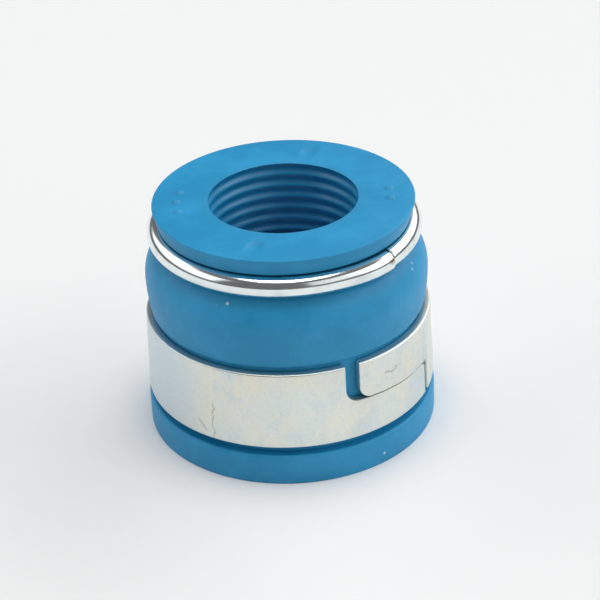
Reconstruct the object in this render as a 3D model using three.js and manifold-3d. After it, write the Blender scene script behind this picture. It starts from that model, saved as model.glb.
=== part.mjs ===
// Valve stem seal for an engine's valve guide: a moulded rubber body, a split
// wire ring round its neck and a sheet-steel band clamp round its skirt.
// Millimetres, +Z up. The seal stands on z = 0 with its bore axis on the Z axis,
// and -Y is the side that shows both the ring's joint and the band's joint.

import * as THREE from 'three';
import { mergeVertices } from 'three/addons/utils/BufferGeometryUtils.js';
import Module from 'manifold-3d';

const wasm = await Module();
wasm.setup();

// Fineness of the round forms
const FACETS = 60;
const CORNER_STEP = 45 * THREE.MathUtils.DEG2RAD;

// Bore that fits over the valve guide's boss
const GUIDE_BORE_RADIUS = 6.3;
const GUIDE_CHAMFER = 0.45;
const GRIP_RIB_COUNT = 3;
const GRIP_RIB_PITCH = 1.9;
const GRIP_RIB_START = 2.3;
const GRIP_RIB_WIDTH = 0.7;
const GRIP_RIB_CREST = 0.24;
const GRIP_RIB_HEIGHT = 0.14;
const GUIDE_STOP_ROUND = 0.4;

// Ribbed bore that wipes the valve stem
const STEM_BORE_RADIUS = 4.3;
const STEM_RIB_DEPTH = 0.16;
const STEM_RIB_PITCH = 0.725;
const STEM_RIB_COUNT = 6;
const STEM_RIB_STEPS = 5;

// Skirt: the foot flange and the seat that the band grips
const SKIRT_WALL = 1.62;
const SKIRT_TAPER = 0.14;
const FLANGE_HEIGHT = 1.86;
const FLANGE_OVERHANG = 0.58;
const FLANGE_ROUND = 0.2;
const FOOT_ROUND = 0.05;

// Sheet-steel band clamp
const BAND_THICKNESS = 0.5;
const BAND_HEIGHT = 4.73;
const BAND_EDGE_ROUND = 0.08;
const BAND_GAP_BELOW = 0.54;
const BAND_GAP_ABOVE = 0.33;

// Stepped joint of the band, where its two ends lie above each other as tongues
const JOINT_AZIMUTH = 47.05 * THREE.MathUtils.DEG2RAD;
const JOINT_OVERLAP = 5.8;
const UPPER_SLOT_WIDTH = 0.85;
const LOWER_SLOT_WIDTH = 0.45;
const JOINT_SEAM_GAP = 0.06;
const JOINT_SEAM_DROP = 0.3;
const LOWER_TONGUE_HEIGHT = 2.26;
const UPPER_TONGUE_ROUND = 0.72;
const LOWER_TONGUE_ROUND = 0.3;
const UPPER_SLOT_ROUND = 0.8;
const LOWER_SLOT_ROUND = 0.15;
const SEAM_STEPS = 12;

// Barrel between the band and the wire ring
const BARREL_OVERHANG = 0.41;
const BARREL_LIP_DRAFT = 0.21;
const BARREL_LIP_ROUND = 0.08;
const BARREL_LOWER_HEIGHT = 2.07;
const BARREL_DOME_HEIGHT = 2.07;
const BARREL_LOWER_STEPS = 3;
const BARREL_DOME_STEPS = 7;

// Split wire ring round the neck, above the barrel's dome and under the top disc
const WIRE_DIAMETER = 1.26;
const RING_INSET = 0.93;
const RING_RISE = 0.6;
const RING_GAP_ABOVE = 0.055;
const RING_AZIMUTH = 49.7 * THREE.MathUtils.DEG2RAD;
const RING_GAP = 0.14;
const WIRE_SIDES = 12;
const UNDERCUT_STEPS = 4;

// Disc at the top
const DISC_HEIGHT = 0.98;
const DISC_FLARE = 0.28;
const DISC_ROUND = 0.1;

// Two round moulding dimples in the top face
const DIMPLE_RADIUS = 0.57;
const DIMPLE_DEPTH = 0.05;
const DIMPLE_AZIMUTHS = [-16, 164];
const DIMPLE_SIDES = 16;

// Clearance between each metal ring and the rubber that it grips
const SEAT_CLEARANCE = 0.035;

// Cutters reach this far past what they cut
const CUT_MARGIN = 0.6;

// Largest share of a side that one corner's rounding may take
const ROUND_SHARE = 0.45;

// Radii and heights that follow from the sizes above
const seatFootRadius = GUIDE_BORE_RADIUS + SKIRT_WALL;
const seatTopRadius = seatFootRadius - SKIRT_TAPER;
const flangeRadius = seatFootRadius + FLANGE_OVERHANG;
const bandFoot = FLANGE_HEIGHT + BAND_GAP_BELOW;
const bandTop = bandFoot + BAND_HEIGHT;
const barrelFoot = bandTop + BAND_GAP_ABOVE;
const barrelWaist = barrelFoot + BARREL_LOWER_HEIGHT;
const barrelTop = barrelWaist + BARREL_DOME_HEIGHT;
const barrelRadius = seatTopRadius + BARREL_OVERHANG;
const wireRadius = WIRE_DIAMETER / 2;
const undercutRadius = wireRadius + SEAT_CLEARANCE;
const ringRadius = barrelRadius - RING_INSET;
const neckRadius = ringRadius - undercutRadius;
const ringHeight = barrelTop + RING_RISE;
const discFoot = ringHeight + RING_GAP_ABOVE + undercutRadius;
const sealHeight = discFoot + DISC_HEIGHT;
const discRadius = ringRadius + DISC_FLARE;
const dimpleCentreRadius = (STEM_BORE_RADIUS + discRadius) / 2;
const stemLength = STEM_RIB_COUNT * STEM_RIB_PITCH;
const guideDepth = sealHeight - stemLength;
const upperTongueHeight = BAND_HEIGHT - LOWER_TONGUE_HEIGHT;
const roundLimit = 2 * ROUND_SHARE * Math.min(LOWER_TONGUE_HEIGHT, upperTongueHeight);
const upperJoint = {
  slotWidth: UPPER_SLOT_WIDTH,
  tongueRound: Math.min(UPPER_TONGUE_ROUND, roundLimit),
  slotRound: Math.min(UPPER_SLOT_ROUND, roundLimit),
};
const lowerJoint = {
  slotWidth: LOWER_SLOT_WIDTH,
  tongueRound: Math.min(LOWER_TONGUE_ROUND, roundLimit),
  slotRound: Math.min(LOWER_SLOT_ROUND, roundLimit),
};

const rubber = new THREE.MeshStandardMaterial({ color: 0x1c83bd, roughness: 0.5, metalness: 0 });
const zincPlate = new THREE.MeshStandardMaterial({ color: 0xccd2c8, roughness: 0.35, metalness: 1 });
const brightWire = new THREE.MeshStandardMaterial({ color: 0xd6dad6, roughness: 0.15, metalness: 1 });

// A closed three.js geometry as a solid that can be joined and cut.
function solidOf(geometry) {
  const bare = geometry.clone();
  bare.deleteAttribute('normal');
  bare.deleteAttribute('uv');
  const merged = mergeVertices(bare);
  return new wasm.Manifold(new wasm.Mesh({
    numProp: 3,
    vertProperties: new Float32Array(merged.attributes.position.array),
    triVerts: new Uint32Array(merged.index.array),
  }));
}

// The geometry of a solid after its joins and cuts.
function geometryOf(solid) {
  const mesh = solid.getMesh();
  const geometry = new THREE.BufferGeometry();
  geometry.setAttribute('position', new THREE.BufferAttribute(mesh.vertProperties, 3));
  geometry.setIndex(new THREE.BufferAttribute(mesh.triVerts, 1));
  geometry.computeVertexNormals();
  return geometry;
}

// A corner of a turned outline: radius, height and the size of its rounding.
function corner(radius, height, round = 0) {
  return { at: new THREE.Vector2(radius, height), round };
}

// Points that round one corner with an arc, which ends before the middle of either side.
function roundedCorner(before, { at, round }, after) {
  if (round === 0) {
    return [at];
  }
  const sideIn = before.clone().sub(at);
  const sideOut = after.clone().sub(at);
  const halfAngle = Math.abs(sideIn.angleTo(sideOut)) / 2;
  const limit = ROUND_SHARE * Math.min(sideIn.length(), sideOut.length());
  const reach = Math.min(round / Math.tan(halfAngle), limit);
  const radius = reach * Math.tan(halfAngle);
  const start = sideIn.clone().setLength(reach).add(at);
  const bisector = sideIn.clone().normalize().add(sideOut.clone().normalize());
  const centre = bisector.setLength(radius / Math.sin(halfAngle)).add(at);
  const spoke = start.sub(centre);
  const direction = Math.sign(spoke.cross(at.clone().sub(centre)));
  const turn = Math.PI - 2 * halfAngle;
  const steps = Math.max(1, Math.round(turn / CORNER_STEP));
  return Array.from({ length: steps + 1 }, (_, step) => (
    spoke.clone().rotateAround(new THREE.Vector2(), direction * turn * step / steps).add(centre)
  ));
}

// A ring turned from a closed outline, which runs outward along the foot,
// up the outside, inward along the top and down the bore.
function turned(corners) {
  const outline = corners.flatMap((each, index) => roundedCorner(
    corners.at(index - 1).at,
    each,
    corners[(index + 1) % corners.length].at,
  ));
  outline.push(outline[0].clone());
  return new THREE.LatheGeometry(outline, FACETS).rotateX(Math.PI / 2);
}

// Corners without rounding along a curve, from its start to its end.
function curve(steps, pointAt) {
  return Array.from({ length: steps + 1 }, (_, step) => {
    const [radius, height] = pointAt(step / steps);
    return corner(radius, height);
  });
}

// Lip of the barrel, its gentle swell up to the waist and the dome above it.
function barrelOutline() {
  const lipRadius = barrelRadius - BARREL_LIP_DRAFT;
  const domeRun = barrelRadius - neckRadius;
  const swell = curve(BARREL_LOWER_STEPS, (t) => [
    barrelRadius - BARREL_LIP_DRAFT * (1 - t) ** 2,
    barrelFoot + BARREL_LOWER_HEIGHT * t,
  ]);
  const dome = curve(BARREL_DOME_STEPS, (t) => {
    const angle = t * Math.PI / 2;
    return [
      barrelRadius - domeRun * (1 - Math.cos(angle)),
      barrelWaist + BARREL_DOME_HEIGHT * Math.sin(angle),
    ];
  });
  return [corner(lipRadius, barrelFoot, BARREL_LIP_ROUND), ...swell.slice(1), ...dome.slice(1)];
}

// Hollow underside of the disc, which curves over the wire from the neck to the disc's foot.
function undercutOutline() {
  return curve(UNDERCUT_STEPS, (t) => {
    const angle = Math.PI * (1 - t / 2);
    return [
      ringRadius + undercutRadius * Math.cos(angle),
      discFoot - undercutRadius + undercutRadius * Math.sin(angle),
    ];
  });
}

// Rounded wiping ribs of the stem bore, from the lip at the top downward.
function stemBoreOutline() {
  const steps = STEM_RIB_COUNT * STEM_RIB_STEPS;
  return curve(steps, (t) => {
    const turns = t * STEM_RIB_COUNT;
    return [
      STEM_BORE_RADIUS + STEM_RIB_DEPTH * (1 - Math.cos(2 * Math.PI * turns)) / 2,
      sealHeight - turns * STEM_RIB_PITCH,
    ];
  });
}

// Guide bore from its stop shoulder down to the chamfered mouth, with grip ribs.
function guideBoreOutline() {
  const ribs = Array.from({ length: GRIP_RIB_COUNT }, (_, index) => {
    const middle = GRIP_RIB_START + (GRIP_RIB_COUNT - 1 - index) * GRIP_RIB_PITCH;
    const crest = GUIDE_BORE_RADIUS - GRIP_RIB_HEIGHT;
    return [
      corner(GUIDE_BORE_RADIUS, middle + GRIP_RIB_WIDTH / 2),
      corner(crest, middle + GRIP_RIB_CREST / 2),
      corner(crest, middle - GRIP_RIB_CREST / 2),
      corner(GUIDE_BORE_RADIUS, middle - GRIP_RIB_WIDTH / 2),
    ];
  });
  return [
    corner(GUIDE_BORE_RADIUS, guideDepth, GUIDE_STOP_ROUND),
    ...ribs.flat(),
    corner(GUIDE_BORE_RADIUS, GUIDE_CHAMFER),
  ];
}

// Point on the top face, or above it, at an azimuth counted from -Y towards +X.
function polar(radius, azimuth, height) {
  return new THREE.Vector3(radius * Math.sin(azimuth), -radius * Math.cos(azimuth), height);
}

// Rubber body, moulded in one piece.
function sealBody() {
  const body = turned([
    corner(GUIDE_BORE_RADIUS + GUIDE_CHAMFER, 0),
    corner(flangeRadius, 0, FOOT_ROUND),
    corner(flangeRadius, FLANGE_HEIGHT, FLANGE_ROUND),
    corner(seatFootRadius, FLANGE_HEIGHT),
    corner(seatTopRadius, barrelFoot),
    ...barrelOutline(),
    ...undercutOutline(),
    corner(discRadius, sealHeight, DISC_ROUND),
    ...stemBoreOutline(),
    ...guideBoreOutline(),
  ]);
  return DIMPLE_AZIMUTHS.reduce((solid, degrees) => {
    const azimuth = degrees * THREE.MathUtils.DEG2RAD;
    const height = DIMPLE_DEPTH + CUT_MARGIN;
    const dimple = new THREE.CylinderGeometry(DIMPLE_RADIUS, DIMPLE_RADIUS, height, DIMPLE_SIDES);
    const middle = polar(dimpleCentreRadius, azimuth, sealHeight - DIMPLE_DEPTH + height / 2);
    dimple.rotateX(Math.PI / 2).translate(middle.x, middle.y, middle.z);
    return solid.subtract(solidOf(dimple));
  }, solidOf(body));
}

// Centre line of the wire, from one side of its gap round to the other.
class RingLine extends THREE.Curve {
  getPoint(t, target = new THREE.Vector3()) {
    const halfGap = RING_GAP / 2 / ringRadius;
    const azimuth = RING_AZIMUTH + halfGap + t * 2 * (Math.PI - halfGap);
    return target.copy(polar(ringRadius, azimuth, ringHeight));
  }
}

// Split ring bent from round wire, its ends meeting with a small gap.
function wireRing() {
  const section = new THREE.Shape(new THREE.EllipseCurve(0, 0, wireRadius, wireRadius).getPoints(WIRE_SIDES));
  return solidOf(new THREE.ExtrudeGeometry(section, {
    steps: FACETS,
    extrudePath: new RingLine(),
  }));
}

// A flat piece rolled round the axis at the band's radius: x runs round the band
// from the joint's middle, y runs up from the seam and z runs outward.
// The seam falls along x, so the piece is sheared with it.
function rolledAtJoint(flat) {
  const middleRadius = (seatFootRadius + seatTopRadius) / 2 + SEAT_CLEARANCE + BAND_THICKNESS;
  const seamSlope = JOINT_SEAM_DROP / JOINT_OVERLAP;
  const position = flat.attributes.position;
  for (let index = 0; index < position.count; index += 1) {
    const along = position.getX(index);
    const height = bandFoot + LOWER_TONGUE_HEIGHT + position.getY(index) - seamSlope * along;
    const place = polar(middleRadius + position.getZ(index), JOINT_AZIMUTH + along / middleRadius, height);
    position.setXYZ(index, place.x, place.y, place.z);
  }
  return flat;
}

// Cutter for the slot beyond a tongue's end, down to the seam, before it is rolled.
// The slot's far corner is rounded and leaves the tongue its own rounded corner.
function slotCutter(tongueHeight, { slotWidth, tongueRound, slotRound }) {
  const depth = 2 * (BAND_THICKNESS + CUT_MARGIN);
  const tongueEnd = -JOINT_OVERLAP / 2;
  const farWall = tongueEnd - slotWidth;
  const top = tongueHeight + CUT_MARGIN;
  const halfSeam = JOINT_SEAM_GAP / 2;
  const outline = new THREE.Shape();
  outline.moveTo(farWall, top);
  outline.lineTo(farWall, slotRound - halfSeam);
  outline.absarc(farWall + slotRound, slotRound - halfSeam, slotRound, Math.PI, 1.5 * Math.PI);
  outline.lineTo(tongueEnd + tongueRound, -halfSeam);
  outline.lineTo(tongueEnd + tongueRound, halfSeam);
  outline.absarc(tongueEnd + tongueRound, tongueRound + halfSeam, tongueRound, 1.5 * Math.PI, Math.PI, true);
  outline.lineTo(tongueEnd, top);
  return new THREE.ExtrudeGeometry(outline, { depth, bevelEnabled: false, curveSegments: 4 })
    .translate(0, 0, -depth / 2);
}

// Band clamp: a shallow cone of sheet steel whose ends lock as stepped tongues.
function bandClamp() {
  const footRadius = seatFootRadius + SEAT_CLEARANCE;
  const topRadius = seatTopRadius + SEAT_CLEARANCE;
  const ring = turned([
    corner(footRadius, bandFoot, BAND_EDGE_ROUND),
    corner(footRadius + BAND_THICKNESS, bandFoot, BAND_EDGE_ROUND),
    corner(topRadius + BAND_THICKNESS, bandTop, BAND_EDGE_ROUND),
    corner(topRadius, bandTop, BAND_EDGE_ROUND),
  ]);
  const seamStart = upperJoint.tongueRound * (1 - ROUND_SHARE);
  const seamEnd = lowerJoint.tongueRound * (1 - ROUND_SHARE);
  const seam = new THREE.BoxGeometry(
    JOINT_OVERLAP - seamStart - seamEnd,
    JOINT_SEAM_GAP,
    2 * (BAND_THICKNESS + CUT_MARGIN),
    SEAM_STEPS,
  ).translate((seamStart - seamEnd) / 2, 0, 0);
  const cutters = [
    slotCutter(upperTongueHeight, upperJoint),
    slotCutter(LOWER_TONGUE_HEIGHT, lowerJoint).rotateZ(Math.PI),
    seam,
  ];
  return cutters.reduce((solid, cutter) => solid.subtract(solidOf(rolledAtJoint(cutter))), solidOf(ring));
}

// One named piece of the seal.
function piece(name, solid, material) {
  const mesh = new THREE.Mesh(geometryOf(solid), material);
  mesh.name = name;
  return mesh;
}

const valveStemSeal = new THREE.Group();
valveStemSeal.name = 'valve_stem_seal';
valveStemSeal.add(
  piece('seal_body', sealBody(), rubber),
  piece('wire_ring', wireRing(), brightWire),
  piece('band_clamp', bandClamp(), zincPlate),
);

export default valveStemSeal;
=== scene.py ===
import math

import bmesh
import bpy
from bpy.props import FloatProperty, FloatVectorProperty, IntProperty, PointerProperty
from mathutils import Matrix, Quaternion, Vector


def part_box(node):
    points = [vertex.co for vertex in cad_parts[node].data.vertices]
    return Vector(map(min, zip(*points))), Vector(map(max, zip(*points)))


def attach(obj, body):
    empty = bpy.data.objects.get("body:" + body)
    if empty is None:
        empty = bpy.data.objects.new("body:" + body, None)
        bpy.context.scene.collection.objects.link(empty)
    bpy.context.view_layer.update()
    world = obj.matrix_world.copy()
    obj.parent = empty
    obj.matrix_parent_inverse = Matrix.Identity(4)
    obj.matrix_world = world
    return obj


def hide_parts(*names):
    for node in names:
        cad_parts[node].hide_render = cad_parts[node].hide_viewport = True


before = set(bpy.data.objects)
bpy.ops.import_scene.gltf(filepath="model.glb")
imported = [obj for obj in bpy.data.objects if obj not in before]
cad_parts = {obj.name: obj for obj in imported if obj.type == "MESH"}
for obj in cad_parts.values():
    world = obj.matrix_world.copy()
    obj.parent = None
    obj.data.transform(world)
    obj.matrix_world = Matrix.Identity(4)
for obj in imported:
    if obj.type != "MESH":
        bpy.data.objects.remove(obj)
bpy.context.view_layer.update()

bl_info = {
    "name": "Valve Stem Seal",
    "version": (1, 0, 0),
    "blender": (4, 5, 0),
    "location": "3D View > Sidebar > Stem Seal",
    "description": "Models a valve stem seal with its wire ring, band clamp and studio",
    "category": "Add Mesh",
}

MM = 0.001
FULL_TURN = 2 * math.pi
MERGE_DISTANCE = 0.0005 * MM
# Facets round the axis
BODY_STEPS = 216
METAL_STEPS = 240
# Places of the marks: azimuths in degrees from the front towards the right, lengths in millimetres
BAND_SURFACE = 8.4
CRACK_AZIMUTH = -32.3
ROOT_AZIMUTH = -37.2
SCRATCH_AZIMUTH = 42.2
SCRATCH_HEIGHT = 5.87
DIMPLE_AZIMUTHS = (-16, 164)
PIP_AZIMUTHS = (-101, -90, -79, 84, 95)
# A pip is the cap of a ball that is sunk in the top face, PIP_BALL times the pip radius
PIP_SHIFT = 0.25
PIP_SINK = 0.32
PIP_BALL = 1.45
# Hidden grip of the guide bore, in millimetres
GRIP_RIB_HEIGHTS = (6.1, 4.2, 2.3)
GRIP_RIB_DEPTH = 0.14
GRIP_RIB_HALF_WIDTH = 0.35
SHOULDER_ROUND = 0.4

BODY_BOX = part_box("seal_body")
RING_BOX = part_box("wire_ring")
BAND_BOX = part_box("band_clamp")


def length(name, description, default, low=0.0):
    """A size in the panel. The default is in millimetres."""
    return FloatProperty(name=name, description=description, default=default * MM, min=low * MM,
                         subtype="DISTANCE", unit="LENGTH", precision=5)


def turn(name, description, degrees):
    """An angle in the panel. The default is in degrees."""
    return FloatProperty(name=name, description=description, default=math.radians(degrees),
                         subtype="ANGLE", unit="ROTATION")


def tint(name, description, default):
    """A linear colour in the panel."""
    return FloatVectorProperty(name=name, description=description, default=default, size=4,
                               min=0.0, max=1.0, subtype="COLOR")


class SealBodySizes(bpy.types.PropertyGroup):
    """Sizes of the moulded rubber body"""

    height: length("Height", "From the foot to the top face", BODY_BOX[1].z / MM)
    foot_radius: length("Foot radius", "Outside of the foot flange", BODY_BOX[1].x / MM)
    flange_height: length("Flange height", "Height of the foot flange", 1.86)
    edge_round: length("Edge round", "Rounding of the flange's top edge", 0.2)
    foot_round: length("Foot round", "Rounding of the flange's bottom edge", 0.05)
    seat_foot: length("Seat foot", "Radius of the band's seat at its foot", 7.92)
    seat_top: length("Seat top", "Radius of the band's seat at its top", 7.78)
    barrel_foot: length("Barrel foot", "Height of the barrel's lip over the band", 7.46)
    barrel_waist: length("Barrel waist", "Height where the dome begins", 9.53)
    barrel_top: length("Barrel top", "Height where the dome meets the neck", 11.6)
    barrel_radius: length("Barrel radius", "Widest radius of the barrel", 8.19)
    lip_draft: length("Lip draft", "How far the barrel's lip stands back", 0.21)
    lip_round: length("Lip round", "Rounding of the barrel's lip", 0.08)
    wire_play: length("Wire play", "Clearance between the wire and the rubber", 0.035)
    wire_gap: length("Wire gap", "Further gap between the wire and the disc", 0.055)
    disc_radius: length("Disc radius", "Outside of the top disc", 7.54)
    disc_round: length("Disc round", "Rounding of the disc's top edge", 0.1)
    stem_bore: length("Stem bore", "Radius of the stem bore over its ribs", 4.3)
    rib_depth: length("Rib depth", "Depth of the grooves between the ribs", 0.16)
    rib_pitch: length("Rib pitch", "Distance from rib to rib", 0.725)
    rib_count: IntProperty(name="Ribs", description="Number of wiping ribs", default=6, min=1)
    guide_bore: length("Guide bore", "Radius of the bore that grips the guide", 6.3)
    guide_depth: length("Guide depth", "Height of the shoulder that stops the guide", 9.55)
    guide_chamfer: length("Guide chamfer", "Chamfer of the guide bore's mouth", 0.45)
    dimple_radius: length("Dimple radius", "Radius of the two moulding dimples", 0.5)
    dimple_depth: length("Dimple depth", "Depth of the two moulding dimples", 0.12)
    dimple_reach: length("Dimple reach", "Distance of the dimples from the axis", 5.85)
    pip_radius: length("Pip radius", "Radius of the raised moulding pips", 0.3)


class WireRingSizes(bpy.types.PropertyGroup):
    """Sizes of the split wire ring"""

    wire_radius: length("Wire radius", "Half the thickness of the wire",
                        (RING_BOX[1].z - RING_BOX[0].z) / 2 / MM)
    ring_radius: length("Ring radius", "Radius of the wire's centre line", 7.26)
    height: length("Height", "Height of the wire's centre line", (RING_BOX[1].z + RING_BOX[0].z) / 2 / MM)
    joint: turn("Joint", "Where the wire's two ends meet, from the front towards the right", 49.7)
    gap: length("Gap", "Gap between the wire's ends", 0.14)
    end_step: length("End step", "How far the left end stands out past the right one", 0.13)


class BandClampSizes(bpy.types.PropertyGroup):
    """Sizes of the sheet-steel band clamp"""

    foot: length("Foot", "Height of the band's lower edge", BAND_BOX[0].z / MM)
    top: length("Top", "Height of the band's upper edge", BAND_BOX[1].z / MM)
    thickness: length("Thickness", "Thickness of the sheet", 0.5)
    inside_foot: length("Inside foot", "Inner radius at the lower edge", 7.955)
    inside_top: length("Inside top", "Inner radius at the upper edge", 7.815)
    edge_round: length("Edge round", "Rounding of the sheet's edges", 0.1)
    joint: turn("Joint", "Middle of the stepped joint, from the front towards the right", 47.05)
    overlap: length("Overlap", "Length over which the two tongues lie above each other", 5.8)
    upper_slot: length("Upper slot", "Width of the slot beyond the upper tongue", 0.85)
    lower_slot: length("Lower slot", "Width of the slot beyond the lower tongue", 0.45)
    seam_gap: length("Seam gap", "Gap between the two tongues", 0.06)
    seam_drop: length("Seam drop", "How far the seam falls from left to right", 0.3)
    lower_tongue: length("Lower tongue", "Height of the lower tongue", 2.26)
    upper_tongue_round: length("Upper tongue round", "Rounding of the upper tongue's free corner", 0.72)
    lower_tongue_round: length("Lower tongue round", "Rounding of the lower tongue's free corner", 0.3)
    upper_slot_round: length("Upper slot round", "Rounding of the upper slot's inner corner", 0.8)
    lower_slot_round: length("Lower slot round", "Rounding of the lower slot's inner corner", 0.15)


class SealColours(bpy.types.PropertyGroup):
    """Colours of the three finishes and of the floor"""

    rubber: tint("Rubber", "Blue of the moulded rubber", (0.003, 0.255, 0.505, 1.0))
    rubber_pale: tint("Rubber bloom", "Paler bloom on the rubber", (0.012, 0.3, 0.585, 1.0))
    wire: tint("Wire", "Bright plated spring wire", (0.84, 0.9, 0.9, 1.0))
    band: tint("Band", "Satin zinc plate", (0.75, 0.8, 0.77, 1.0))
    band_warm: tint("Band, warm", "Yellowish blotches in the zinc plate", (0.84, 0.81, 0.68, 1.0))
    # Also used as painted shade on the band's left side, standing in for the shadowed floor that the band
    # reflects there.
    band_cool_and_left_shade: tint("Band, cool", "Bluish blotches in the zinc plate", (0.58, 0.69, 0.77, 1.0))
    speck: tint("Speck", "Pale specks on the rubber", (0.5, 0.66, 0.74, 1.0))
    wire_dull: tint("Wire, dull", "Duller patches on the wire", (0.6, 0.64, 0.63, 1.0))
    rust: tint("Rust", "Rusty spot beside the wire's joint", (0.3, 0.22, 0.16, 1.0))
    mottle: tint("Mottle", "Greyish mottle in the zinc plate", (0.55, 0.58, 0.56, 1.0))
    fleck: tint("Fleck", "Dark flecks in the zinc plate", (0.42, 0.44, 0.4, 1.0))
    glint: tint("Glint", "Bright grain in the zinc plate", (0.97, 0.98, 0.96, 1.0))
    mark: tint("Mark", "Crack and scratch in the zinc plate", (0.2, 0.22, 0.22, 1.0))
    floor: tint("Floor", "Pale studio floor", (0.82, 0.825, 0.825, 1.0))


class StudioSettings(bpy.types.PropertyGroup):
    """Camera and soft light of the studio"""

    camera_distance: length("Camera distance", "How far in front of the axis the camera stands", 100.995)
    camera_height: length("Camera height", "Height of the camera", 66.094)
    camera_side: length("Camera side", "How far the camera stands to the right", 0.695)
    aim_height: length("Aim height", "Height at which the camera aims", 7.0788)
    camera_roll: turn("Camera roll", "Tilt of the camera about its own axis", -2.593)
    lens: FloatProperty(name="Lens", description="Focal length", default=119.71, min=1.0, unit="CAMERA")
    left_light: FloatProperty(name="Left light", description="Strength of the soft light on the left",
                              default=1.2, min=0.0)
    right_light: FloatProperty(name="Right light", description="Strength of the soft light on the right",
                               default=1.5, min=0.0)
    front_light: FloatProperty(name="Front light", description="Strength of the light right of the camera",
                               default=0.75, min=0.0)
    overhead_light: FloatProperty(name="Overhead light", description="Strength of the soft light above",
                                  default=4.6, min=0.0)
    dim_light: FloatProperty(name="Dim light", description="Light from the rest of the room",
                             default=0.15, min=0.0)
    floor_size: length("Floor size", "Side of the square floor", 3000.0)


class Signal:
    """An output socket that can stand in a Python expression."""

    def __init__(self, board, socket):
        self.board = board
        self.socket = socket

    def math(self, operation, *others):
        """A Math node on this value and the others."""
        inputs = dict(enumerate([self, *others]))
        return self.board.value("ShaderNodeMath", {"operation": operation}, inputs)

    def __add__(self, other):
        return self.math("ADD", other)

    __radd__ = __add__

    def __mul__(self, other):
        return self.math("MULTIPLY", other)

    __rmul__ = __mul__

    def __sub__(self, other):
        return self.math("SUBTRACT", other)

    def __rsub__(self, other):
        return (self * -1.0) + other

    def rise(self, low, high):
        """0 below low, 1 above high and smooth between them."""
        return self.board.value("ShaderNodeMapRange", {"interpolation_type": "SMOOTHSTEP"},
                                {"Value": self, "From Min": low, "From Max": high})

    def window(self, low, high, soft):
        """1 between low and high, falling to 0 over the soft width at either side."""
        return self.rise(low - soft, low + soft) * (1.0 - self.rise(high - soft, high + soft))

    def window_degrees(self, low, high, soft):
        """The same window for an angle in radians, with its limits given in degrees."""
        return self.window(math.radians(low), math.radians(high), math.radians(soft))


class Board:
    """Node tree of a material or of the world."""

    def __init__(self, owner):
        owner.use_nodes = True
        self.tree = owner.node_tree
        self.tree.nodes.clear()

    def node(self, kind, settings=None, inputs=None):
        """Adds a node, sets it up and fills its sockets with values or links."""
        added = self.tree.nodes.new(kind)
        for name, setting in (settings or {}).items():
            setattr(added, name, setting)
        for name, value in (inputs or {}).items():
            if isinstance(value, Signal):
                self.tree.links.new(value.socket, added.inputs[name])
            else:
                added.inputs[name].default_value = value
        return added

    def value(self, kind, settings=None, inputs=None, output=0):
        """Adds a node and gives one of its outputs."""
        return Signal(self, self.node(kind, settings, inputs).outputs[output])

    def blend(self, factor, first, second):
        """Colour that goes from the first to the second as the factor goes from 0 to 1."""
        return self.value("ShaderNodeMix", {"data_type": "RGBA"}, {0: factor, 6: first, 7: second}, 2)

    def split(self, vector):
        """The three coordinates of a vector."""
        parts = self.node("ShaderNodeSeparateXYZ", None, {0: vector})
        return [Signal(self, output) for output in parts.outputs]

    def join(self, x, y, z):
        """A vector of three coordinates."""
        return self.value("ShaderNodeCombineXYZ", None, {0: x, 1: y, 2: z})

    def millimetres(self):
        """The piece's own coordinates, in millimetres."""
        metres = self.value("ShaderNodeTexCoord", None, None, "Object")
        return self.value("ShaderNodeVectorMath", {"operation": "SCALE"}, {0: metres, "Scale": 1 / MM})

    def noise(self, place, scale, detail=2.0, roughness=0.5, distortion=0.0):
        """Even noise about 0.5, with the given number of swells to a millimetre."""
        return self.value("ShaderNodeTexNoise", None, {
            "Vector": place, "Scale": scale, "Detail": detail,
            "Roughness": roughness, "Distortion": distortion,
        })

    def bump(self, height, depth, strength=1.0, under=None):
        """A normal bent by a height between 0 and 1, whose full depth is in millimetres."""
        inputs = {"Height": height, "Distance": depth * MM, "Strength": strength}
        if under:
            inputs["Normal"] = under
        return self.value("ShaderNodeBump", None, inputs)

    def surface(self, **sockets):
        """The finished surface. Socket names are written with underscores."""
        inputs = {name.replace("_", " "): value for name, value in sockets.items()}
        shader = self.value("ShaderNodeBsdfPrincipled", None, inputs)
        self.node("ShaderNodeOutputMaterial", None, {"Surface": shader})


def finish_of(name):
    """A new material and the board for its nodes."""
    material = bpy.data.materials.new(name)
    return material, Board(material)


def near_point(board, place, point, radius):
    """1 at a point of the piece, falling to 0 at the radius, both in millimetres."""
    distance = board.value("ShaderNodeVectorMath", {"operation": "DISTANCE"},
                           {0: place, 1: point}, "Value")
    return 1.0 - distance.rise(0.35 * radius, radius)


def on_seal(radius, azimuth, height):
    """A place on the seal, its azimuth in radians from the front (-Y) towards the right (+X)."""
    return Vector((radius * math.sin(azimuth), -radius * math.cos(azimuth), height))


def azimuth_of(x, y):
    """Angle of a direction from the front (-Y) towards the right (+X), in radians."""
    return x.math("ARCTAN2", -1.0 * y)


def distance_from_axis(x, y):
    """Distance of a place from the seal's axis."""
    return (x * x + y * y).math("SQRT")


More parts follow.
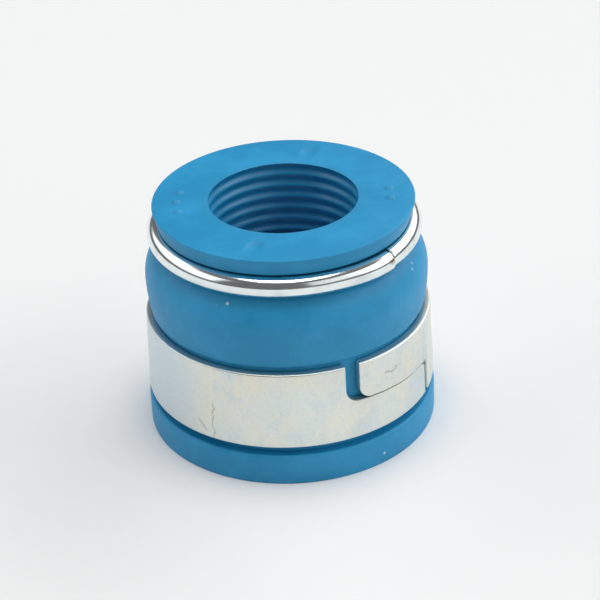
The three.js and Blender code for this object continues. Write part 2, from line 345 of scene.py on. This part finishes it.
def rubber_finish(colours):
    """Satin blue rubber with a faint bloom, moulding grain, a few pale specks and a glossier stem bore."""
    material, board = finish_of("blue_rubber")
    place = board.millimetres()
    bloom = board.noise(place, 0.35, 4.0, 0.6).rise(0.35, 0.7)
    grain = board.noise(place, 7.0, 3.0, 0.6)
    dust = board.noise(place, 5.0, 1.0).rise(0.78, 0.84)
    colour = board.blend(bloom, tuple(colours.rubber), tuple(colours.rubber_pale))
    specks = dust * 0.2
    for radius, degrees, height, size, strength in (
        (7.63, -25.4, 11.09, 0.13, 1.0),
        (7.74, 66.4, 10.97, 0.13, 0.45),
        (7.86, 64.1, 10.77, 0.13, 0.45),
        (8.5, 37.2, 0.64, 0.12, 1.0),
    ):
        point = on_seal(radius, math.radians(degrees), height)
        specks = specks + near_point(board, place, point, size) * strength
    colour = board.blend(specks.math("MINIMUM", 1.0), colour, tuple(colours.speck))
    waves = board.noise(place, 1.3, 2.0)
    skin = board.bump(waves, 0.02, 0.4)
    skin = board.bump(grain, 0.006, 0.5, skin)
    x, y, z = board.split(place)
    from_axis = distance_from_axis(x, y)
    in_bore = (1.0 - from_axis.rise(4.45, 4.75)) * z.rise(9.2, 9.6)
    board.surface(Base_Color=colour, Roughness=0.44 + 0.16 * grain, Normal=skin, Specular_IOR_Level=0.5,
                  Coat_Weight=in_bore * 0.55, Coat_Roughness=0.22)
    return material


def wire_finish(colours, ring):
    """Bright drawn wire, with draw lines along it, duller patches and a rusty spot by its joint."""
    material, board = finish_of("bright_wire")
    place = board.millimetres()
    x, y, z = board.split(place)
    from_axis = distance_from_axis(x, y)
    azimuth = azimuth_of(x, y)
    round_wire = (z - ring.height / MM).math("ARCTAN2", from_axis - ring.ring_radius / MM)
    lines = board.noise(board.join(azimuth * 1.5, round_wire * 9.0, 0.0), 1.0, 3.0, 0.6)
    stain = board.noise(place, 0.8, 3.0).rise(0.5, 0.75)
    colour = board.blend(stain * 0.5, tuple(colours.wire), tuple(colours.wire_dull))
    rusty = near_point(board, place, on_seal(7.85, ring.joint - math.radians(2.2), 12.42), 0.34)
    colour = board.blend(rusty * 0.75, colour, tuple(colours.rust))
    skin = board.bump(lines, 0.004, 0.35)
    board.surface(Base_Color=colour, Metallic=1.0, Roughness=0.1 + 0.09 * lines, Normal=skin)
    return material


def hairline(across, along, low, high, width):
    """1 on a thin line where across is near 0, between two places along it. All in millimetres."""
    return (1.0 - across.math("ABSOLUTE").rise(0.3 * width, width)) * along.window(low, high, 0.12)


def band_finish(colours):
    """Satin zinc plate with warm and cool blotches, grain, a crack and a scratch, and painted shade: its left
    side is tinted cooler and darker.
    """
    material, board = finish_of("zinc_plate")
    place = board.millimetres()
    x, y, z = board.split(place)
    azimuth = azimuth_of(x, y)
    warm = board.noise(place, 0.5, 5.0, 0.65, 0.15).rise(0.36, 0.68)
    cool = board.noise(board.join(x + 31.0, y, z * 0.7), 0.5, 5.0, 0.65, 0.15).rise(0.44, 0.74)
    # Painted shade: the band's whole left side takes the cooler, darker tint, standing in for the shadowed
    # floor that it reflects there.
    cool = cool.math("MAXIMUM", azimuth.window_degrees(-110, -42, 14))
    colour = board.blend(warm * 0.75, tuple(colours.band), tuple(colours.band_warm))
    colour = board.blend(cool * 0.7, colour, tuple(colours.band_cool_and_left_shade))
    mottle = board.noise(place, 5.0, 5.0, 0.7)
    grain = board.noise(place, 14.0, 3.0, 0.7)
    flecks = board.noise(board.join(x, y + 17.0, z), 10.0, 4.0, 0.75)
    colour = board.blend(mottle.rise(0.5, 0.78) * 0.4, colour, tuple(colours.mottle))
    colour = board.blend(flecks.rise(0.57, 0.72) * 0.35, colour, tuple(colours.fleck))
    colour = board.blend(grain.rise(0.55, 0.7) * 0.4, colour, tuple(colours.glint))
    wander = board.noise(place, 2.2, 3.0, 0.6) - 0.5
    crack = (azimuth - math.radians(CRACK_AZIMUTH)) * BAND_SURFACE + wander * 0.7
    root = (azimuth - math.radians(ROOT_AZIMUTH)) * BAND_SURFACE + (z - 3.1) * 0.9 + wander * 0.3
    scratch = z - SCRATCH_HEIGHT + wander * 0.9
    along = (azimuth - math.radians(SCRATCH_AZIMUTH)) * BAND_SURFACE
    marks = hairline(crack, z, 2.5, 4.7, 0.07) * 0.6
    marks = marks + hairline(root, z, 2.85, 3.4, 0.09) * 0.7
    marks = marks + hairline(scratch, along, -0.45, 0.5, 0.08) * 0.8
    marks = marks.math("MINIMUM", 1.0)
    colour = board.blend(marks * 0.7, colour, tuple(colours.mark))
    skin = board.bump(mottle, 0.014, 0.6)
    skin = board.bump(grain, 0.005, 0.7, skin)
    skin = board.bump(1.0 - marks, 0.03, 0.8, skin)
    board.surface(Base_Color=colour, Metallic=1.0, Roughness=0.3 + 0.16 * mottle, Normal=skin)
    return material


def floor_finish(colours):
    """Plain pale floor."""
    material, board = finish_of("pale_floor")
    board.surface(Base_Color=tuple(colours.floor), Roughness=0.8)
    return material


def edit():
    """Enters edit mode."""
    bpy.ops.object.mode_set(mode="EDIT")


def done():
    """Leaves edit mode."""
    bpy.ops.object.mode_set(mode="OBJECT")


def alone(piece):
    """Selects one object and makes it the active one."""
    bpy.ops.object.select_all(action="DESELECT")
    piece.select_set(True)
    bpy.context.view_layer.objects.active = piece


def drawn(name, points, closed=True):
    """A line through the points, drawn by extruding its last point. The piece stays in edit mode."""
    bpy.ops.object.select_all(action="DESELECT")
    bpy.ops.mesh.primitive_plane_add(size=MM)
    piece = bpy.context.object
    piece.name = name
    edit()
    bpy.ops.mesh.merge(type="CENTER")
    bpy.ops.transform.translate(value=points[0])
    line = [*points, points[0]] if closed else points
    for before, after in zip(line, line[1:]):
        bpy.ops.mesh.extrude_region_move(TRANSFORM_OT_translate={"value": after - before})
    bpy.ops.mesh.select_all(action="SELECT")
    bpy.ops.mesh.remove_doubles(threshold=MERGE_DISTANCE)
    return piece


def pick(piece, wanted):
    """Selects the points that are wanted by their place, in edit mode."""
    bpy.ops.mesh.select_mode(type="VERT")
    bpy.ops.mesh.select_all(action="DESELECT")
    mesh = bmesh.from_edit_mesh(piece.data)
    for point in mesh.verts:
        point.select_set(wanted(point.co))
    mesh.select_flush(True)
    bmesh.update_edit_mesh(piece.data)


def round_corners(piece, places, reach, segments):
    """Rounds the corners of a drawn line at the given places."""
    pick(piece, lambda point: any((point - place).length < MERGE_DISTANCE for place in places))
    bpy.ops.mesh.bevel(offset=reach, segments=segments, affect="VERTICES")


def close_up():
    """Merges doubles, points all faces outward and leaves edit mode."""
    bpy.ops.mesh.select_all(action="SELECT")
    bpy.ops.mesh.remove_doubles(threshold=MERGE_DISTANCE)
    bpy.ops.mesh.normals_make_consistent(inside=False)
    done()


def spun(steps, angle=FULL_TURN):
    """Spins all of the drawn piece round the seal's axis, from the front towards the right."""
    bpy.ops.mesh.select_all(action="SELECT")
    bpy.ops.mesh.spin(steps=steps, angle=-angle, center=(0, 0, 0), axis=(0, 0, 1))


def apply_modifier(piece, kind, **settings):
    """Adds a modifier to a piece and applies it."""
    alone(piece)
    modifier = piece.modifiers.new(kind.title(), kind)
    for name, setting in settings.items():
        setattr(modifier, name, setting)
    bpy.ops.object.modifier_apply(modifier=modifier.name)


def shape_with(piece, tool, operation):
    """Cuts the tool out of the piece, or joins it on, and removes the tool."""
    apply_modifier(piece, "BOOLEAN", object=tool, operation=operation, solver="EXACT")
    bpy.data.objects.remove(tool)


def set_in_place(piece, location=(0, 0, 0), turned=(0, 0, 0)):
    """Turns and moves a piece, with its place kept in its mesh."""
    alone(piece)
    piece.rotation_euler = turned
    piece.location = location
    bpy.ops.object.transform_apply(location=True, rotation=True, scale=True)


def dress(piece, node, material, smooth_angle):
    """Gives a finished piece its shading, finish and place in the frame."""
    alone(piece)
    bpy.ops.object.shade_smooth_by_angle(angle=math.radians(smooth_angle))
    piece.data.materials.clear()
    piece.data.materials.append(material)
    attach(piece, "root")
    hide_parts(node)


def arc(centre, radius_across, radius_up, start, end, steps):
    """Places along an arc or a quarter of an ellipse, in the drawing plane. Angles are in degrees."""
    angles = [math.radians(start + (end - start) * step / steps) for step in range(steps + 1)]
    return [
        (centre[0] + radius_across * math.cos(angle), centre[1] + radius_up * math.sin(angle))
        for angle in angles
    ]


def section(outline):
    """Drawing plane of the turned pieces: a radius and a height become a place at the front."""
    return [Vector((0.0, -radius, height)) for radius, height in outline]


class STEMSEAL_OT_seal_body(bpy.types.Operator):
    """Model the moulded rubber body"""

    bl_idname = "stemseal.seal_body"
    bl_label = "Seal Body"

    def execute(self, context):
        size = context.scene.seal_body_sizes
        ring = context.scene.wire_ring_sizes
        corners = self.foot(size)
        swell = [
            (size.barrel_radius - size.lip_draft * (1 - t) ** 2,
             size.barrel_foot + (size.barrel_waist - size.barrel_foot) * t)
            for t in (0.0, 0.2, 0.4, 0.6, 0.8)
        ]
        hollow = ring.wire_radius + size.wire_play
        neck = ring.ring_radius - hollow
        dome = arc((neck, size.barrel_waist), size.barrel_radius - neck, size.barrel_top - size.barrel_waist,
                   0, 90, 20)
        undercut = arc((ring.ring_radius, ring.height + size.wire_gap), hollow, hollow, 180, 90, 10)
        disc_edge = (size.disc_radius, size.height)
        outline = [*corners, *swell, *dome, *undercut, disc_edge]
        outline += [*self.stem_bore(size), *self.guide_bore(size)]
        body = drawn("seal_body_rubber", section(outline))
        round_corners(body, section([(size.foot_radius, size.flange_height)]), size.edge_round, 5)
        round_corners(body, section([(size.foot_radius, 0.0)]), size.foot_round, 3)
        round_corners(body, section([swell[0]]), size.lip_round, 5)
        round_corners(body, section([disc_edge]), size.disc_round, 4)
        round_corners(body, section([(size.guide_bore, size.guide_depth)]), SHOULDER_ROUND * MM, 5)
        spun(BODY_STEPS)
        close_up()
        self.add_moulding_marks(body, size)
        dress(body, "seal_body", rubber_finish(context.scene.seal_colours), 40)
        return {"FINISHED"}

    def foot(self, size):
        """Outline from the guide bore's chamfer round the foot flange to the barrel's lip."""
        return [
            (size.guide_bore + size.guide_chamfer, 0.0),
            (size.foot_radius, 0.0),
            (size.foot_radius, size.flange_height),
            (size.seat_foot, size.flange_height),
            (size.seat_top, size.barrel_foot),
        ]

    def stem_bore(self, size):
        """Outline of the rounded wiping ribs, from the top face down to the guide's shoulder."""
        steps_a_rib = 12
        ribs = [
            (size.stem_bore + size.rib_depth * (1 - math.cos(FULL_TURN * step / steps_a_rib)) / 2,
             size.height - size.rib_pitch * step / steps_a_rib)
            for step in range(size.rib_count * steps_a_rib + 1)
        ]
        return ribs

    def guide_bore(self, size):
        """Outline of the guide bore with its three grip ribs, from the shoulder to the mouth."""
        outline = [(size.guide_bore, size.guide_depth)]
        for middle in GRIP_RIB_HEIGHTS:
            centre = (size.guide_bore, middle * MM)
            outline += arc(centre, -GRIP_RIB_DEPTH * MM, GRIP_RIB_HALF_WIDTH * MM, 90, -90, 8)
        return [*outline, (size.guide_bore, size.guide_chamfer)]

    def add_moulding_marks(self, body, size):
        """Two round dimples and five raised pips in the top face, from the mould."""
        dish_radius = (size.dimple_radius ** 2 + size.dimple_depth ** 2) / (2 * size.dimple_depth)
        for degrees in DIMPLE_AZIMUTHS:
            place = on_seal(size.dimple_reach, math.radians(degrees),
                            size.height + dish_radius - size.dimple_depth)
            bpy.ops.mesh.primitive_uv_sphere_add(segments=96, ring_count=96, radius=dish_radius)
            dish = bpy.context.object
            set_in_place(dish, place)
            shape_with(body, dish, "DIFFERENCE")
        for degrees in PIP_AZIMUTHS:
            place = on_seal(size.dimple_reach + PIP_SHIFT * MM, math.radians(degrees),
                            size.height - PIP_SINK * MM)
            bpy.ops.mesh.primitive_uv_sphere_add(segments=24, ring_count=24,
                                                 radius=size.pip_radius * PIP_BALL)
            pip = bpy.context.object
            set_in_place(pip, place)
            shape_with(body, pip, "UNION")


class STEMSEAL_OT_wire_ring(bpy.types.Operator):
    """Model the split ring of spring wire"""

    bl_idname = "stemseal.wire_ring"
    bl_label = "Wire Ring"

    def execute(self, context):
        size = context.scene.wire_ring_sizes
        bpy.ops.object.select_all(action="DESELECT")
        bpy.ops.mesh.primitive_circle_add(
            vertices=40, radius=size.wire_radius, fill_type="NGON",
            location=(0, -size.ring_radius, size.height), rotation=(0, math.radians(90), 0),
        )
        ring = bpy.context.object
        ring.name = "wire_ring_steel"
        bpy.ops.object.transform_apply(location=True, rotation=True, scale=True)
        half_gap = size.gap / 2 / size.ring_radius
        edit()
        spun(METAL_STEPS, FULL_TURN - 2 * half_gap)
        close_up()
        self.ease_ends(ring)
        self.step_left_end(ring, size, half_gap)
        set_in_place(ring, turned=(0, 0, size.joint + half_gap))
        dress(ring, "wire_ring", wire_finish(context.scene.seal_colours, size), 40)
        return {"FINISHED"}

    def ease_ends(self, ring):
        """Rounds the rims of the wire's two cut ends."""
        alone(ring)
        edit()
        bpy.ops.mesh.select_mode(type="FACE")
        bpy.ops.mesh.select_all(action="DESELECT")
        mesh = bmesh.from_edit_mesh(ring.data)
        for face in mesh.faces:
            face.select_set(len(face.verts) > 4)
        bmesh.update_edit_mesh(ring.data)
        bpy.ops.mesh.bevel(offset=0.07 * MM, segments=3, affect="EDGES")
        done()

    def step_left_end(self, ring, size, half_gap):
        """Moves the left end a little out of line, as the wire's spring does."""
        end = on_seal(size.ring_radius, -2 * half_gap, size.height)
        edit()
        reach = size.wire_radius * 1.3
        limit = end.x + 0.12 * MM
        pick(ring, lambda point: (point - end).length < reach and point.x < limit)
        bpy.ops.transform.translate(
            value=(0, -size.end_step, -0.02 * MM), use_proportional_edit=True,
            proportional_edit_falloff="SMOOTH", proportional_size=4.0 * MM,
            use_proportional_connected=True,
        )
        done()


class STEMSEAL_OT_band_clamp(bpy.types.Operator):
    """Model the sheet-steel band with its stepped joint"""

    bl_idname = "stemseal.band_clamp"
    bl_label = "Band Clamp"

    def execute(self, context):
        size = context.scene.band_clamp_sizes
        self.middle_radius = (size.inside_foot + size.inside_top) / 2 + size.thickness
        self.seam_slope = size.seam_drop / size.overlap
        self.seam_height = size.foot + size.lower_tongue
        outline = section([
            (size.inside_foot, size.foot),
            (size.inside_foot + size.thickness, size.foot),
            (size.inside_top + size.thickness, size.top),
            (size.inside_top, size.top),
        ])
        band = drawn("band_clamp_steel", outline)
        round_corners(band, outline, size.edge_round, 4)
        spun(METAL_STEPS)
        close_up()
        upper_tongue = size.top - size.foot - size.lower_tongue
        for cutter in (
            self.slot_cutter(size, 1, upper_tongue, size.upper_slot, size.upper_tongue_round,
                             size.upper_slot_round),
            self.slot_cutter(size, -1, size.lower_tongue, size.lower_slot, size.lower_tongue_round,
                             size.lower_slot_round),
            self.seam_cutter(size),
        ):
            shape_with(band, cutter, "DIFFERENCE")
        apply_modifier(band, "BEVEL", width=0.045 * MM, segments=2, limit_method="ANGLE",
                       angle_limit=math.radians(55), use_clamp_overlap=False)
        dress(band, "band_clamp", band_finish(context.scene.seal_colours), 40)
        return {"FINISHED"}

    def slot_cutter(self, size, side, tongue_height, slot_width, tongue_round, slot_round):
        """Cutter for the slot beyond a tongue's end. Side is 1 for the upper left, -1 for the lower right."""
        tongue_end = -size.overlap / 2
        far_wall = tongue_end - slot_width
        middle = (tongue_end + far_wall) / 2
        half_seam = size.seam_gap / 2
        top = tongue_height + 0.6 * MM
        corner = tongue_end + tongue_round
        outline = [
            (far_wall, top),
            *arc((far_wall + slot_round, slot_round - half_seam), slot_round, slot_round, 180, 270, 8),
            (corner, -half_seam),
            *arc((corner, tongue_round + half_seam), tongue_round, tongue_round, 270, 180, 8),
            (tongue_end, top),
        ]
        depth = 2 * size.thickness
        points = [
            Vector((side * (across - middle), depth, side * up - self.seam_slope * side * across))
            for across, up in outline
        ]
        cutter = drawn("slot_cutter", points)
        bpy.ops.mesh.edge_face_add()
        bpy.ops.mesh.extrude_region_move(TRANSFORM_OT_translate={"value": (0, -2 * depth, 0)})
        close_up()
        azimuth = size.joint + side * middle / self.middle_radius
        set_in_place(cutter, on_seal(self.middle_radius, azimuth, self.seam_height), (0, 0, azimuth))
        return cutter

    def seam_cutter(self, size):
        """Thin cutter that parts the two tongues along the falling seam."""
        start = -size.overlap / 2 + size.upper_tongue_round / 2
        end = size.overlap / 2 - size.lower_tongue_round / 2
        outline = [
            (self.middle_radius - 2 * size.thickness, -size.seam_gap / 2),
            (self.middle_radius + 2 * size.thickness, -size.seam_gap / 2),
            (self.middle_radius + 2 * size.thickness, size.seam_gap / 2),
            (self.middle_radius - 2 * size.thickness, size.seam_gap / 2),
        ]
        cutter = drawn("seam_cutter", section(outline))
        bpy.ops.mesh.edge_face_add()
        spun(24, (end - start) / self.middle_radius)
        close_up()
        set_in_place(cutter, turned=(0, 0, start / self.middle_radius))
        set_in_place(cutter, (0, 0, self.seam_height), (0, math.atan(self.seam_slope), size.joint))
        return cutter


class STEMSEAL_OT_stage(bpy.types.Operator):
    """Set up the floor, the soft light and the camera"""

    bl_idname = "stemseal.stage"
    bl_label = "Stage"

    def execute(self, context):
        studio = context.scene.studio_settings
        bpy.ops.object.select_all(action="DESELECT")
        bpy.ops.mesh.primitive_plane_add(size=studio.floor_size)
        floor = bpy.context.object
        floor.name = "floor"
        floor.data.materials.append(floor_finish(context.scene.seal_colours))
        self.light(context.scene, studio)
        self.place_camera(context.scene, studio)
        context.scene.view_settings.view_transform = "Standard"
        return {"FINISHED"}

    def light(self, scene, studio):
        """Large soft lights at both sides and overhead in a dimmer room, painted on the world."""
        world = bpy.data.worlds.new("soft_studio")
        scene.world = world
        board = Board(world)
        direction = board.value("ShaderNodeTexCoord", None, None, "Generated")
        x, y, z = board.split(direction)
        azimuth = azimuth_of(x, y)
        elevation = z.math("ARCSINE")
        height = elevation.window_degrees(15, 50, 3)
        above = elevation.rise(math.radians(70), math.radians(74))
        left = azimuth.window_degrees(-148, -60, 6)
        right = azimuth.window_degrees(60, 165, 12)
        front = azimuth.window_degrees(20, 150, 6)
        sides = left * studio.left_light + right * studio.right_light + front * studio.front_light
        strength = height * sides + above * studio.overhead_light + studio.dim_light
        background = board.value("ShaderNodeBackground", None,
                                 {"Color": (1.0, 1.0, 1.0, 1.0), "Strength": strength})
        board.node("ShaderNodeOutputWorld", None, {"Surface": background})

    def place_camera(self, scene, studio):
        """Camera at the photograph's viewing angle."""
        place = Vector((studio.camera_side, -studio.camera_distance, studio.camera_height))
        aim = Vector((studio.camera_side, 0, studio.aim_height))
        bpy.ops.object.camera_add(location=place)
        camera = bpy.context.object
        look = (aim - place).to_track_quat("-Z", "Y") @ Quaternion((0, 0, 1), studio.camera_roll)
        camera.rotation_euler = look.to_euler()
        camera.data.lens = studio.lens
        camera.data.sensor_width = 36.0
        camera.data.clip_start = MM
        scene.camera = camera


class STEMSEAL_PT_panel(bpy.types.Panel):
    """Steps that build the valve stem seal"""

    bl_idname = "STEMSEAL_PT_panel"
    bl_label = "Valve Stem Seal"
    bl_space_type = "VIEW_3D"
    bl_region_type = "UI"
    bl_category = "Stem Seal"

    def draw(self, context):
        for operator in STEPS:
            self.layout.operator(operator.bl_idname)
        for name, group in SETTINGS.items():
            box = self.layout.box()
            box.label(text=group.__doc__)
            for field in group.__annotations__:
                box.prop(getattr(context.scene, name), field)


SETTINGS = {
    "seal_body_sizes": SealBodySizes,
    "wire_ring_sizes": WireRingSizes,
    "band_clamp_sizes": BandClampSizes,
    "seal_colours": SealColours,
    "studio_settings": StudioSettings,
}
STEPS = (STEMSEAL_OT_stage, STEMSEAL_OT_seal_body, STEMSEAL_OT_wire_ring, STEMSEAL_OT_band_clamp)
CLASSES = (*SETTINGS.values(), *STEPS, STEMSEAL_PT_panel)


def register():
    for each in CLASSES:
        bpy.utils.register_class(each)
    for name, group in SETTINGS.items():
        setattr(bpy.types.Scene, name, PointerProperty(type=group))


def unregister():
    for name in SETTINGS:
        delattr(bpy.types.Scene, name)
    for each in reversed(CLASSES):
        bpy.utils.unregister_class(each)


def main():
    register()
    bpy.ops.stemseal.stage()
    bpy.ops.stemseal.seal_body()
    bpy.ops.stemseal.wire_ring()
    bpy.ops.stemseal.band_clamp()


if __name__ == "__main__":
    main()
